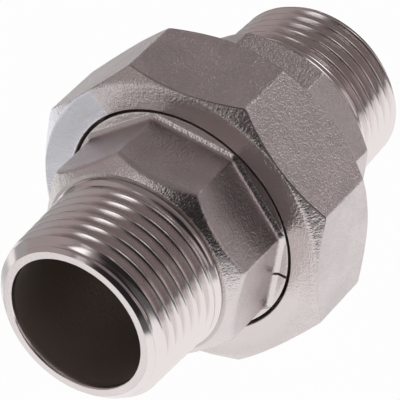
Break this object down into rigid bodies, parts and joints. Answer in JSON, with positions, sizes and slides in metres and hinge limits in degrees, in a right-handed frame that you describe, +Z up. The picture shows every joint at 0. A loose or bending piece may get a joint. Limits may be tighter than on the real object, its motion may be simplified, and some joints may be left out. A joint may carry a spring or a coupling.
{
  "type": "straight pipe union",
  "caption": "Straight steel pipe union with a male taper pipe thread and octagonal wrench flats at each end, drawn closed on a conical seat by an octagonal union nut.",
  "frame": {"origin": "on the surface that the union lies on, below the middle of its length and its pipe axis", "axes": "+X along the pipe axis, from the tail piece towards the thread piece; +Z up, away from the nut's lowest flat"},
  "size_m": [0.0804, 0.0548, 0.0548],
  "materials": {
    "cast_steel": "blasted casting, with bright turned threads and end faces",
    "nut_steel": "blasted casting with rough edges"
  },
  "bodies": {
    "thread_end": {"thread_piece": "cast_steel"},
    "tail_end": {"tail_piece": "cast_steel"},
    "nut": {"union_nut": "nut_steel"}
  },
  "joints": [
    {"name": "tail_slide", "type": "slide", "parent": "thread_end", "child": "tail_end", "axis": [-1, 0, 0], "range_m": [0, 0.008]},
    {"name": "nut_turn", "type": "hinge", "parent": "tail_end", "child": "nut", "pos_m": [0.00032, 0, 0.0274], "axis": [-1, 0, 0], "range_deg": [0, 1440]}
  ],
  "couplings": [
    {"joint": "tail_slide", "follows": "nut_turn", "m_per_rad": 0.00031831}
  ]
}
